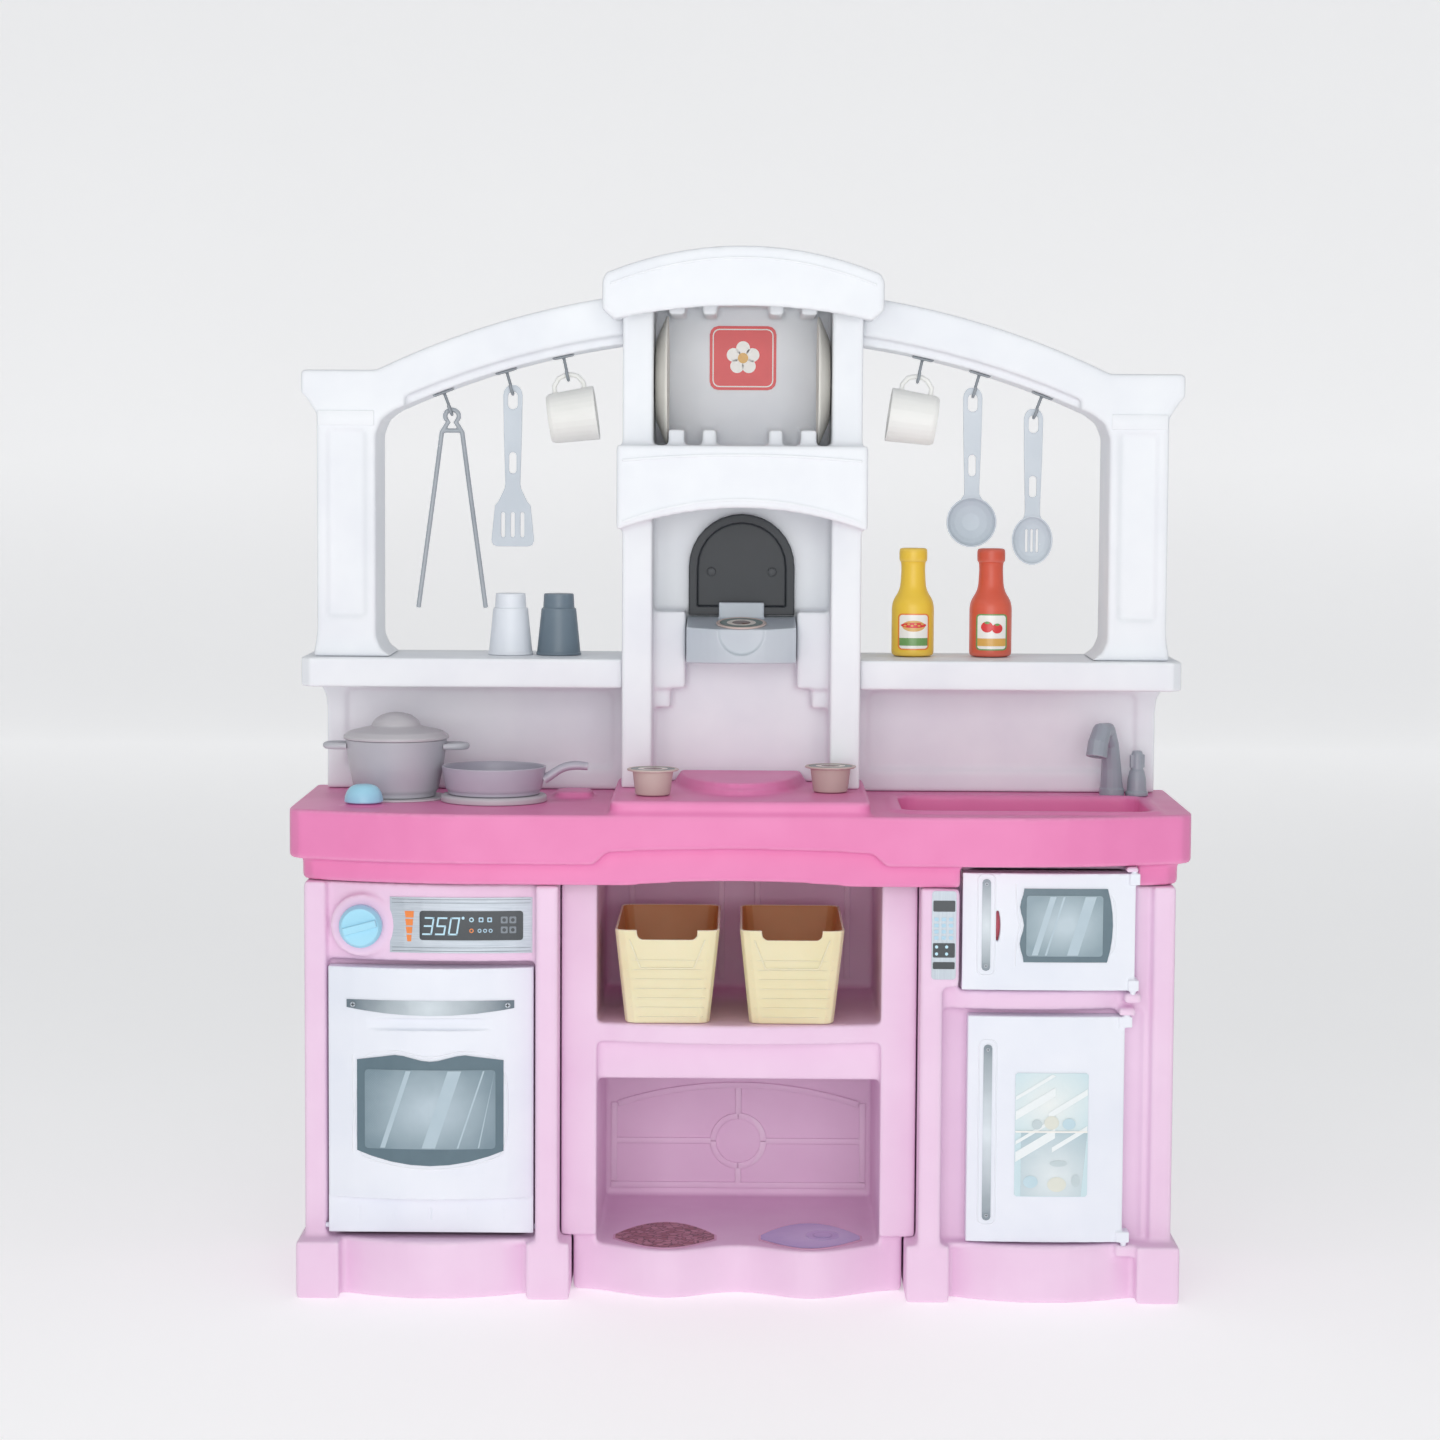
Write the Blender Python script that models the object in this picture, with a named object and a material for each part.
"""Toy kitchen: pink cabinets, hot pink worktop, white hutch, doors, knobs and loose play pieces.

Metres, +Z up. The origin is on the floor under the middle; the front faces -Y and +X is to the right.
"""
import math

import bmesh
import bpy
from mathutils import Matrix, Vector

# ---------------------------------------------------------------- overall sizes
WIDTH = 0.908                 # worktop and shelf, end to end
DEPTH = 0.292                 # front of the worktop to the back of the hutch
PLINTH_HEIGHT = 0.058
CABINET_HEIGHT = 0.4187
APRON_HEIGHT = 0.022          # narrow band under the worktop's edge
FASCIA_HEIGHT = 0.050
BOARD_RISE = 0.014            # raised board in the middle of the worktop
BACKSPLASH_HEIGHT = 0.1154
SHELF_THICKNESS = 0.0295
PILLAR_HEIGHT = 0.2655        # shelf to the cornice
CORNICE_HEIGHT = 0.0295
ARCH_RISE = 0.0776            # how far the arch climbs from the pillar to the tower
CROWN_RISE = 0.1251           # arch end to the top of the crown
CENTRE_WIDTH = 0.358          # shelf unit between the two cabinets
TOWER_WIDTH = 0.2444          # tower between the two windows

# ---------------------------------------------------------------- walls and clearances
GAP = 0.0003                  # between pieces that rest against each other
CABINET_GAP = 0.0013          # between the cabinets and the shelf unit
DOOR_GAP = 0.0015             # round a door
PIN_GAP = 0.0004              # round a pin in its hole
WALL = 0.006                  # moulded wall
LABEL = 0.0006                # printed label
PIN_RADIUS = 0.0030
PIN_REACH = 0.0055            # how far a hinge pin goes into its hole

# ---------------------------------------------------------------- worktop
BOW_START = 0.57              # share of the half width where the front edge starts to curve back
BOW_RADIUS = 0.45
CORNER_RADIUS = 0.025
BOARD_WIDTH = 0.259
LIFT_WIDTH = 0.296            # width over which the fascia's lower edge is lifted
LIFT_SLOPE = 0.0195           # width of each of its two curved ends
LIFT_HEIGHT = 0.013
POST_WIDTH = 0.025
MICROWAVE_POCKET = 0.1785     # width of the niche over the microwave
SINK_WIDTH = 0.250
SINK_DEPTH = 0.150
SINK_RIM = 0.011
SINK_FLOOR_DROP = 0.041

# ---------------------------------------------------------------- loose pieces
BURNER_RADIUS = 0.0545
BURNER_HEIGHT = 0.0072
HOB_PLATE_HEIGHT = 0.0016
POT_RADIUS = 0.0522
POT_HEIGHT = 0.0590
PAN_RADIUS = 0.0535
PAN_HEIGHT = 0.0285
KNOB_RADIUS = 0.0196
KNOB_BOSS = 0.0030            # low boss under the stove knob
SHAFT_RADIUS = 0.0042
OVEN_KNOB_RADIUS = 0.0215
POD_RADIUS = 0.0260
POD_HEIGHT = 0.0270
BIN_WIDTH = 0.105
BIN_HEIGHT = 0.097
BIN_LENGTH = 0.198
PLATE_RADIUS = 0.0665
PLATE_DEPTH = 0.0130
MUG_RADIUS = 0.0280
MUG_LENGTH = 0.0500
TUMBLER_RADIUS = 0.0236
TUMBLER_HEIGHT = 0.0640
TUMBLER_GAP = 0.0032
BOTTLE_RADIUS = 0.0222
BOTTLE_HEIGHT = 0.1135
HOOK_WIRE = 0.0018
HOOK_BEND = 0.0055

SEGMENTS = 28                 # round pieces

# ---------------------------------------------------------------- places worked out from the sizes
HALF = WIDTH / 2
FRONT = -DEPTH / 2
BACK = DEPTH / 2
CENTRE_HALF = CENTRE_WIDTH / 2
TOWER_HALF = TOWER_WIDTH / 2
CABINET_IN = CENTRE_HALF + CABINET_GAP
CABINET_OUT = HALF - 0.017
APRON_Z = CABINET_HEIGHT + 2 * GAP
FASCIA_Z = APRON_Z + APRON_HEIGHT
TOP_Z = FASCIA_Z + FASCIA_HEIGHT
BOARD_Z = TOP_Z + BOARD_RISE
SHELF_Z = TOP_Z + GAP + BACKSPLASH_HEIGHT
SHELF_TOP = SHELF_Z + SHELF_THICKNESS
CORNICE_Z = SHELF_TOP + PILLAR_HEIGHT
CORNICE_TOP = CORNICE_Z + CORNICE_HEIGHT
CROWN_TOP = CORNICE_TOP + CROWN_RISE
HUTCH_FRONT = BACK - 0.128    # front of the pillars and arches
FRAME_DEPTH = 0.100           # how deep the pillars and arches are
SHELF_FRONT = BACK - 0.142
SPLASH_FRONT = BACK - 0.042
BAY_WALL = BACK - 0.086       # wall behind the coffee maker
TOWER_FRONT = BACK - 0.162
HOOD_FRONT = BACK - 0.192
PILLAR_IN = HALF - 0.077
PILLAR_OUT = HALF - 0.016
LEFT, RIGHT = -1, 1

PINK = (0.88, 0.62, 0.78)
HOT_PINK = (0.87, 0.18, 0.45)
WHITE = (0.90, 0.92, 0.94)
DOOR_WHITE = (0.86, 0.88, 0.95)
SILVER = (0.62, 0.68, 0.74)
DARK = (0.03, 0.04, 0.05)
SKY = (0.35, 0.74, 0.88)
CREAM = (0.90, 0.87, 0.80)
YELLOW_BIN = (0.86, 0.76, 0.50)

for leftover in list(bpy.data.objects):
    bpy.data.objects.remove(leftover, do_unlink=True)


# ================================================================ small tools
def finish_material(name, colour, roughness=0.45, metallic=0.0):
    """A Principled material of one colour."""
    made = bpy.data.materials.new(name)
    made.use_nodes = True
    shader = made.node_tree.nodes["Principled BSDF"]
    shader.inputs["Base Color"].default_value = (*colour, 1.0)
    shader.inputs["Roughness"].default_value = roughness
    shader.inputs["Metallic"].default_value = metallic
    return made


def as_object(mesh_data, name="shape"):
    """Put a bmesh in the scene with its faces pointing out."""
    bmesh.ops.remove_doubles(mesh_data, verts=mesh_data.verts, dist=1e-6)
    bmesh.ops.recalc_face_normals(mesh_data, faces=mesh_data.faces)
    mesh = bpy.data.meshes.new(name)
    mesh_data.to_mesh(mesh)
    mesh_data.free()
    made = bpy.data.objects.new(name, mesh)
    bpy.context.scene.collection.objects.link(made)
    return made


def loft(rings):
    """Closed skin over rings of equal point count, with a flat cap at both ends."""
    shape = bmesh.new()
    rows = [[shape.verts.new(point) for point in ring] for ring in rings]
    for low, high in zip(rows, rows[1:]):
        for here in range(len(low)):
            after = (here + 1) % len(low)
            shape.faces.new((low[here], low[after], high[after], high[here]))
    shape.faces.new(list(reversed(rows[0])))
    shape.faces.new(rows[-1])
    return as_object(shape)


def prism(outline, low, high, along="Z"):
    """Extrude a flat outline along X (points are y, z), Y (points are x, z) or Z (points are x, y)."""
    place = {
        "X": lambda a, b, c: (c, a, b),
        "Y": lambda a, b, c: (a, c, b),
        "Z": lambda a, b, c: (a, b, c),
    }[along]
    return loft([[place(a, b, level) for a, b in outline] for level in (low, high)])


def block(x, y, z):
    """Box between pairs of limits, in any order."""
    (x0, x1), (y0, y1), (z0, z1) = sorted(x), sorted(y), sorted(z)
    return prism([(x0, y0), (x1, y0), (x1, y1), (x0, y1)], z0, z1)


def turned(profile, centre, segments=SEGMENTS, turn=None):
    """Spin (radius, height) points round the Z axis; the ends of the profile lie on the axis."""
    shape = bmesh.new()
    rows = []
    for radius, height in profile:
        if radius < 1e-7:
            rows.append([shape.verts.new((0, 0, height))])
            continue
        angles = [2 * math.pi * k / segments for k in range(segments)]
        ring = [shape.verts.new((radius * math.cos(a), radius * math.sin(a), height)) for a in angles]
        rows.append(ring)
    for low, high in zip(rows, rows[1:]):
        for k in range(segments):
            after = (k + 1) % segments
            corners = [low[k % len(low)], low[after % len(low)], high[after % len(high)],
                       high[k % len(high)]]
            unique = list(dict.fromkeys(corners))
            if len(unique) > 2:
                shape.faces.new(unique)
    matrix = Matrix.Translation(Vector(centre)) @ (turn or Matrix.Identity(4))
    bmesh.ops.transform(shape, matrix=matrix, verts=shape.verts)
    return as_object(shape)


def rod(start, end, radius, segments=12):
    """Straight round bar between two points."""
    start, end = Vector(start), Vector(end)
    turn = (end - start).to_track_quat("Z", "Y").to_matrix().to_4x4()
    length = (end - start).length
    return turned([(0, 0), (radius, 0), (radius, length), (0, length)], start, segments, turn)


def tube(path, radii, sides=8, flat=1.0, flat_axis=(0, 1, 0)):
    """Round bar along a path; flat below 1 squeezes it along flat_axis."""
    points = [Vector(point) for point in path]
    if not isinstance(radii, (list, tuple)):
        radii = [radii] * len(points)
    squeeze = Vector(flat_axis).normalized()
    rings = []
    side = None
    for k, point in enumerate(points):
        ahead = points[min(k + 1, len(points) - 1)] - points[max(k - 1, 0)]
        ahead.normalize()
        if side is None:
            side = ahead.orthogonal().normalized()
        side = (side - ahead * side.dot(ahead)).normalized()
        up = ahead.cross(side)
        ring = []
        for n in range(sides):
            angle = 2 * math.pi * (n + 0.5) / sides
            out = (side * math.cos(angle) + up * math.sin(angle)) * radii[k]
            out -= squeeze * out.dot(squeeze) * (1 - flat)
            ring.append(point + out)
        rings.append(ring)
    return loft(rings)


def combine(target, tool, operation, solver="EXACT"):
    """Boolean of two shapes; the tool is used up."""
    step = target.modifiers.new(operation, "BOOLEAN")
    step.operation = operation
    step.solver = solver
    step.object = tool
    bpy.context.view_layer.update()
    graph = bpy.context.evaluated_depsgraph_get()
    result = bpy.data.meshes.new_from_object(target.evaluated_get(graph))
    target.modifiers.clear()
    target.data = result
    bpy.data.objects.remove(tool, do_unlink=True)
    return target


def add(target, *tools):
    for tool in tools:
        combine(target, tool, "UNION")
    return target


def cut(target, *tools):
    for tool in tools:
        combine(target, tool, "DIFFERENCE")
    return target


def shared(target, tool):
    return combine(target, tool, "INTERSECT")


def node(name, shape, colour, roughness=0.45, metallic=0.0, pivot=(0, 0, 0), smooth=False):
    """Name a finished shape, give it its material and put its origin on its pivot."""
    shape.name = name
    shape.data.name = name
    offset = Vector(pivot)
    shape.data.transform(Matrix.Translation(-offset))
    shape.location = offset
    shape.data.materials.clear()
    shape.data.materials.append(finish_material(name, colour, roughness, metallic))
    if smooth:
        shape.data.shade_smooth()
        shape.data.set_sharp_from_angle(angle=math.radians(35))
    return shape


def arc_points(centre, radius, start, end, steps):
    """Points on a circle between two angles in degrees."""
    found = []
    for k in range(steps + 1):
        angle = math.radians(start + (end - start) * k / steps)
        found.append((centre[0] + radius * math.cos(angle), centre[1] + radius * math.sin(angle)))
    return found


def rounded(a0, a1, b0, b1, radius, steps=3):
    """Rectangle outline with round corners."""
    a0, a1 = sorted((a0, a1))
    corners = (((a1 - radius, b0 + radius), -90), ((a1 - radius, b1 - radius), 0),
               ((a0 + radius, b1 - radius), 90), ((a0 + radius, b0 + radius), 180))
    return [p for centre, start in corners for p in arc_points(centre, radius, start, start + 90, steps)]


def spread(low, high, steps):
    return [low + (high - low) * k / steps for k in range(steps + 1)]


def bulge(x, low, high, depth):
    """How far a bowed face stands out at x: nothing at its two ends and depth in the middle."""
    share = (2 * x - low - high) / (high - low)
    return depth * (1 - share * share)


# ================================================================ worktop
def edge_line(x, setback=0.0):
    """Front edge of the worktop: straight in the middle and curving back to the ends."""
    over = max(0.0, abs(x) - BOW_START * HALF)
    return FRONT + setback + BOW_RADIUS - math.sqrt(BOW_RADIUS ** 2 - over ** 2)


def top_outline(inset, back):
    """Plan of the worktop, drawn in by inset at the front and the sides."""
    end = HALF - inset
    turn = end - CORNER_RADIUS
    right = [(x, edge_line(x, inset)) for x in spread(LIFT_WIDTH / 2, turn, 8)]
    start = right[-1][1]
    for angle in (30, 60, 90):
        a = math.radians(angle)
        right.append((turn + CORNER_RADIUS * math.sin(a), start + 0.030 * (1 - math.cos(a))))
    left = [(-x, y) for x, y in reversed(right)]
    return left + right + [(end, back), (-end, back)]


FAUCET = (HALF - 0.0640, FRONT + 0.2195)
TAP = (HALF - 0.0375, FRONT + 0.2215)
SINK_X = (CENTRE_HALF + HALF) / 2 - 0.0285
SINK_Y = FRONT + 0.041 + SINK_DEPTH / 2
STOVE_KNOB = (-(HALF - 0.0734), FRONT + 0.078)
POCKET_LOW = CABINET_IN + 0.0392
POCKET_HIGH = POCKET_LOW + MICROWAVE_POCKET
TOP_WALL = 0.007
SKIRT_INSET = 0.0125
SKIRT_WALL = 0.008


def lifted_edge():
    """Lower edge of the fascia in the middle: two S curves and a shallow arch between them."""
    half, crest = LIFT_WIDTH / 2, LIFT_WIDTH / 2 - LIFT_SLOPE
    rise = []
    for share in spread(0, 1, 6):
        climb = LIFT_HEIGHT * (0.5 - 0.5 * math.cos(math.pi * share))
        rise.append((-half + LIFT_SLOPE * share, FASCIA_Z + climb))
    arch = [(x, FASCIA_Z + LIFT_HEIGHT + bulge(x, -crest, crest, 0.0035))
            for x in spread(-crest, crest, 10)[1:-1]]
    fall = [(-x, z) for x, z in reversed(rise)]
    return [(-half, FASCIA_Z - 0.001)] + rise + arch + fall + [(half, FASCIA_Z - 0.001)]


def make_countertop():
    top = prism(top_outline(0, BACK), FASCIA_Z, TOP_Z)
    past = BACK + 0.01
    skirt_front = FRONT + SKIRT_INSET
    skirt_back = skirt_front + SKIRT_WALL
    add(top, prism(top_outline(SKIRT_INSET, BACK), APRON_Z, FASCIA_Z + WALL))
    board_half = BOARD_WIDTH / 2
    board_plan = rounded(-board_half, board_half, FRONT + 0.0037, SPLASH_FRONT - GAP, 0.012)
    cut(top, prism(lifted_edge(), FRONT - 0.01, skirt_front + 0.004, "Y"))
    lifted_half = LIFT_WIDTH / 2 + 0.004
    add(top, block((-lifted_half, lifted_half), (skirt_front, skirt_back), (APRON_Z, FASCIA_Z + 0.020)))
    low_arch = [(x, APRON_Z + bulge(x, -0.113, 0.113, 0.005)) for x in spread(-0.113, 0.113, 10)]
    low_arch += [(0.114, APRON_Z - 0.001), (-0.114, APRON_Z - 0.001)]
    cut(top, prism(low_arch, FRONT, skirt_back + 0.004, "Y"))
    add(top, prism(board_plan, FASCIA_Z + 0.020, BOARD_Z))
    add(top, block((-TOWER_HALF, TOWER_HALF), (SPLASH_FRONT - 0.01, BACK), (TOP_Z - 0.003, BOARD_Z)))
    hollow = top_outline(SKIRT_INSET + SKIRT_WALL, past)
    cut(top, prism(hollow, APRON_Z - 0.01, TOP_Z - TOP_WALL))
    x0, x1 = SINK_X - SINK_WIDTH / 2, SINK_X + SINK_WIDTH / 2
    y0, y1 = SINK_Y - SINK_DEPTH / 2, SINK_Y + SINK_DEPTH / 2
    floor = TOP_Z - SINK_FLOOR_DROP
    tub = prism(rounded(x0 - WALL, x1 + WALL, y0 - WALL, y1 + WALL, 0.026), floor - 0.004, TOP_Z - 0.002)
    rim = prism(rounded(x0 - SINK_RIM, x1 + SINK_RIM, y0 - SINK_RIM, y1 + SINK_RIM, 0.030), TOP_Z - 0.003,
                TOP_Z + 0.003)
    add(top, tub, rim)
    cut(top, prism(rounded(x0, x1, y0, y1, 0.020), floor, TOP_Z + 0.02))
    over_microwave = (FRONT - 0.01, FRONT + 0.052)
    cut(top, block((POCKET_LOW, POCKET_HIGH), over_microwave, (APRON_Z - 0.001, FASCIA_Z)))
    for radius_x, radius_y, low, high in ((0.067, 0.150, 0.003, 0.0062), (0.0635, 0.143, 0.005, 0.0125)):
        half_oval = [(radius_x * a, BAY_WALL - 0.001 + radius_y * b) for a,
                     b in arc_points((0, 0), 1, 180, 360, 16)]
        add(top, prism(half_oval, BOARD_Z - low, BOARD_Z + high))
    add(top, rod((*STOVE_KNOB, TOP_Z - 0.002), (*STOVE_KNOB, TOP_Z + KNOB_BOSS), KNOB_RADIUS - 0.0008,
                 SEGMENTS))
    rest = rounded(-(HALF - 0.262), -(HALF - 0.300), FRONT + 0.158, FRONT + 0.206, 0.012)
    add(top, prism(rest, TOP_Z - 0.002, TOP_Z + 0.007))
    cut(top, rod((*STOVE_KNOB, TOP_Z - 0.02), (*STOVE_KNOB, TOP_Z + 0.02), SHAFT_RADIUS + PIN_GAP))
    for x, y in (FAUCET, TAP):
        cut(top, rod((x, y, TOP_Z - 0.02), (x, y, TOP_Z + 0.02), SHAFT_RADIUS + PIN_GAP))
    return node("countertop", top, HOT_PINK, 0.38)


# ================================================================ cabinets
POST_FRONT_IN = FRONT + 0.012
POST_FRONT_OUT = FRONT + 0.038
PANEL_IN = FRONT + 0.034
PANEL_OUT = FRONT + 0.046
PANEL_BULGE = 0.014
NICHE_BACK = FRONT + 0.0535    # lip that the oven door closes in front of
CABINET_BACK = BACK - 0.004


def panel_line(x):
    """Front of the panel between the posts, at a distance x from the middle of the kitchen."""
    low, high = CABINET_IN + POST_WIDTH - 0.0023, CABINET_OUT - POST_WIDTH + 0.002
    share = (x - low) / (high - low)
    return PANEL_IN + (PANEL_OUT - PANEL_IN) * share - bulge(x, low, high, PANEL_BULGE)


def cabinet_outline(side):
    low, high = CABINET_IN + POST_WIDTH - 0.0023, CABINET_OUT - POST_WIDTH + 0.002
    points = [(CABINET_IN, CABINET_BACK), (CABINET_IN, POST_FRONT_IN), (low, POST_FRONT_IN)]
    points += [(x, panel_line(x)) for x in spread(low, high, 8)]
    points += [(high, POST_FRONT_OUT), (CABINET_OUT, POST_FRONT_OUT), (CABINET_OUT, CABINET_BACK)]
    return [(side * x, y) for x, y in points]


def plinth_outline(side, inset=0.0):
    inner, outer = CABINET_IN - 0.0115 + inset, CABINET_OUT + 0.0065 - inset
    low, high = inner + 0.044 - 2 * inset, outer - 0.0435 + 2 * inset
    front = FRONT + 0.014 + inset
    points = [(inner, BACK - 0.001 - inset), (inner, front), (low, front)]
    for x in spread(low, high, 8):
        points.append((x, front + 0.026 - bulge(x, low, high, 0.026)))
    points += [(high, front), (outer, front), (outer, BACK - 0.001 - inset)]
    return [(side * x, y) for x, y in points]


OVEN_LOW_X = CABINET_IN + 0.0242
OVEN_HIGH_X = CABINET_OUT - 0.0235
OVEN_TOP = CABINET_HEIGHT - 0.0787
OVEN_KNOB = (-(CABINET_OUT - 0.059), CABINET_HEIGHT - 0.0427)
OVEN_AXIS = (FRONT + 0.0425, PLINTH_HEIGHT + 0.011)
KNOB_PAD_FRONT = FRONT + 0.0285


def start_cabinet(side):
    """Posts, bowed panel and plinth of one cabinet, before its openings."""
    shape = prism(cabinet_outline(side), PLINTH_HEIGHT - 0.006, CABINET_HEIGHT)
    add(shape, prism(plinth_outline(side), 0, PLINTH_HEIGHT))
    inside = [(side * x, y) for x, y in ((CABINET_IN + 0.034, FRONT + 0.052),
                                         (CABINET_OUT - 0.034, FRONT + 0.052),
                                         (CABINET_OUT - 0.012, BACK - 0.012),
                                         (CABINET_IN + 0.004, BACK - 0.012))]
    cut(shape, prism(inside, -0.01, PLINTH_HEIGHT - 0.012))
    return shape


def inner_room(side, z0, z1, y0):
    """Room behind a cabinet's front, between its side walls and its back wall."""
    x = (side * (CABINET_IN + WALL), side * (CABINET_OUT - WALL))
    return block(x, (y0, CABINET_BACK - WALL), (z0, z1))


def make_left_cabinet():
    shape = start_cabinet(LEFT)
    niche_x = (-OVEN_LOW_X, -OVEN_HIGH_X)
    mouth_x = (-(OVEN_LOW_X + 0.008), -(OVEN_HIGH_X - 0.008))
    cut(shape, block(niche_x, (FRONT - 0.02, NICHE_BACK), (PLINTH_HEIGHT, OVEN_TOP)))
    cut(shape, block(mouth_x, (NICHE_BACK - 0.004, NICHE_BACK + 0.012), (PLINTH_HEIGHT, OVEN_TOP - 0.008)))
    cut(shape, inner_room(LEFT, PLINTH_HEIGHT, OVEN_TOP, NICHE_BACK + 0.008))
    top_room = block((-(CABINET_IN + WALL), -(CABINET_OUT - WALL)), (NICHE_BACK - 0.004, BACK),
                     (OVEN_TOP + WALL, CABINET_HEIGHT - WALL))
    cut(shape, top_room)
    x, z = OVEN_KNOB
    pad = rod((x, KNOB_PAD_FRONT + 0.012, z), (x, KNOB_PAD_FRONT, z), 0.0315, SEGMENTS)
    add(shape, pad)
    cut(shape, rod((x, KNOB_PAD_FRONT - 0.01, z), (x, KNOB_PAD_FRONT + 0.03, z), SHAFT_RADIUS + PIN_GAP))
    pin_y, pin_z = OVEN_AXIS
    reach = PIN_REACH + 0.0012
    for inner, outer in ((OVEN_LOW_X + 0.002, OVEN_LOW_X - reach),
                         (OVEN_HIGH_X - 0.002, OVEN_HIGH_X + reach)):
        cut(shape, rod((-inner, pin_y, pin_z), (-outer, pin_y, pin_z), PIN_RADIUS + PIN_GAP))
    return node("left_cabinet", shape, PINK, 0.42)


MICROWAVE_Z = (CABINET_HEIGHT - 0.1042, FASCIA_Z - GAP * 4)
MICROWAVE_BACK = FRONT + 0.046
FRIDGE_LOW_X = CABINET_IN + 0.0232
FRIDGE_HIGH_X = CABINET_OUT - 0.0305
FRIDGE_TOP = CABINET_HEIGHT - 0.1237
FRIDGE_BACK = FRONT + 0.048
HOUSING_TOP = FASCIA_Z - 2 * GAP
FRIDGE_DOOR_X = (FRIDGE_LOW_X + 0.0255, FRIDGE_HIGH_X - 0.0205)
FRIDGE_DOOR_Z = (PLINTH_HEIGHT + 0.0025, FRIDGE_TOP - 0.0054)
MICROWAVE_DOOR_X = (POCKET_LOW + 0.0025, POCKET_HIGH - 0.004)
MICROWAVE_DOOR_Z = (MICROWAVE_Z[0] + 0.0021, FASCIA_Z - 0.0073)
MICROWAVE_AXIS = (MICROWAVE_DOOR_X[1] - 0.0015, FRONT + 0.0195)
FRIDGE_AXIS = (FRIDGE_DOOR_X[1] + 0.0015, FRONT + 0.0265)


KEYPAD_X = (CABINET_IN + 0.0108, POCKET_LOW - 0.0042)
KEYPAD_FRONT = POST_FRONT_IN - 0.0016


def make_right_cabinet():
    shape = start_cabinet(RIGHT)
    pocket = (POCKET_LOW, POCKET_HIGH)
    wide = CABINET_HEIGHT + 0.01
    cut(shape, block(pocket, (FRONT - 0.02, MICROWAVE_BACK), (MICROWAVE_Z[0], wide)))
    cut(shape, block((FRIDGE_LOW_X, FRIDGE_HIGH_X), (FRONT - 0.02, FRIDGE_BACK),
                     (PLINTH_HEIGHT, FRIDGE_TOP)))
    housing = (POCKET_LOW + 0.001, POCKET_HIGH - 0.001)
    add(shape, block(housing, (MICROWAVE_BACK, MICROWAVE_BACK + 0.20),
                     (CABINET_HEIGHT - 0.02, HOUSING_TOP)))
    mouth = (MICROWAVE_DOOR_X[0] + 0.007, MICROWAVE_DOOR_X[1] - 0.007)
    cut(shape, block(mouth, (MICROWAVE_BACK - 0.002, MICROWAVE_BACK + 0.192),
                     (MICROWAVE_DOOR_Z[0] + 0.006, HOUSING_TOP - WALL)))
    fridge_mouth = (FRIDGE_DOOR_X[0] + 0.007, FRIDGE_DOOR_X[1] - 0.007)
    cut(shape, block(fridge_mouth, (FRIDGE_BACK - 0.002, FRIDGE_BACK + 0.02),
                     (FRIDGE_DOOR_Z[0] + 0.007, FRIDGE_DOOR_Z[1] - 0.007)))
    cut(shape, inner_room(RIGHT, PLINTH_HEIGHT, FRIDGE_TOP - 0.004, FRIDGE_BACK + 0.008))
    pad = rounded(KEYPAD_X[0] - 0.0025, POCKET_LOW - 0.0008, CABINET_HEIGHT - 0.099,
                  CABINET_HEIGHT - 0.0005, 0.003)
    add(shape, prism(pad, KEYPAD_FRONT, PANEL_IN + 0.01, "Y"))
    x, y = MICROWAVE_AXIS
    ear_x, ear_front = (x - 0.0085, POCKET_HIGH - 0.001), y - 0.0045
    add(shape, block(ear_x, (ear_front, MICROWAVE_BACK + 0.01),
                     (MICROWAVE_DOOR_Z[1] + 0.0008, HOUSING_TOP)))
    add(shape, block((x - 0.0085, POCKET_HIGH + 0.003), (ear_front, MICROWAVE_BACK + 0.01),
                     (MICROWAVE_Z[0] - 0.0105, MICROWAVE_Z[0])))
    cut(shape, rod((x, y, MICROWAVE_Z[0] - 0.0075), (x, y, HOUSING_TOP - 0.0015), PIN_RADIUS + PIN_GAP))
    x, y = FRIDGE_AXIS
    add(shape, block((x - 0.0085, x + 0.009), (y - 0.0055, FRIDGE_BACK + 0.01),
                     (FRIDGE_DOOR_Z[1] + 0.0008, FRIDGE_TOP + 0.004)))
    add(shape, block((x - 0.0085, x + 0.009), (y - 0.0055, FRIDGE_BACK + 0.01),
                     (PLINTH_HEIGHT - 0.012, PLINTH_HEIGHT + 0.0012)))
    cut(shape, rod((x, y, PLINTH_HEIGHT - 0.0065), (x, y, FRIDGE_TOP), PIN_RADIUS + PIN_GAP))
    return node("right_cabinet", shape, PINK, 0.42)


# ================================================================ middle shelf unit
OPENING_HALF = CENTRE_HALF - 0.036
STILE_FRONT = FRONT + 0.049
BAY_BACK = CABINET_BACK - WALL
SHELF_BOARD_TOP = CABINET_HEIGHT - 0.1427
SHELF_EDGE = 0.020
LOWER_BAY_TOP = SHELF_BOARD_TOP - 0.059
LOWER_FLOOR = PLINTH_HEIGHT - 0.009


def wave_front(x):
    """Front of the bottom shelf: a swell each side of a shallow dip in the middle."""
    crest, dip, side = FRONT + 0.024, FRONT + 0.050, FRONT + 0.062
    middle = OPENING_HALF / 2
    distance = abs(x)
    if distance < middle:
        share, end = distance / middle, dip
    else:
        share, end = 1 - min(1, (distance - middle) / (CENTRE_HALF - 0.012 - middle)), side
    return end + (crest - end) * (0.5 - 0.5 * math.cos(math.pi * share))


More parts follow.
